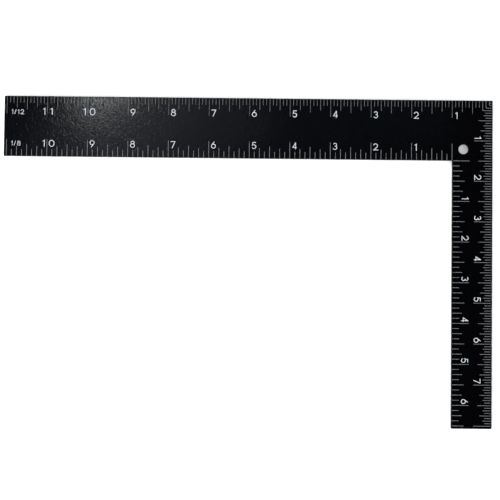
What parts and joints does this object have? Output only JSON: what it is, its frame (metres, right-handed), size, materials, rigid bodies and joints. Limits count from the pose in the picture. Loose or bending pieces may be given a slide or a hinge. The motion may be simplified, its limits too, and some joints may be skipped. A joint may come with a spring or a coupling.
{
  "type": "carpenter square",
  "caption": "Flat L-shaped steel layout square with a wide blade, a narrow tongue, inch graduations on both faces and a hang hole near the heel.",
  "frame": {"origin": "outside corner of the heel, where the two outer edge lines meet, on the back face", "axes": "the blade runs along -X and the tongue along -Y from the heel; +Z is out of the front face"},
  "size_m": [0.3065, 0.205, 0.0016],
  "materials": {
    "powder_coat": "finely pebbled satin",
    "scale_paint": "matt paint"
  },
  "bodies": {
    "root": {"steel_plate": "powder_coat", "blade_outer_twelfths_front": "scale_paint", "blade_inner_eighths_front": "scale_paint", "tongue_outer_sixteenths_front": "scale_paint", "tongue_inner_eighths_front": "scale_paint", "heel_marks_front": "scale_paint", "blade_outer_sixteenths_back": "scale_paint", "blade_inner_eighths_back": "scale_paint", "tongue_outer_sixteenths_back": "scale_paint", "tongue_inner_eighths_back": "scale_paint", "heel_marks_back": "scale_paint"}
  },
  "joints": []
}
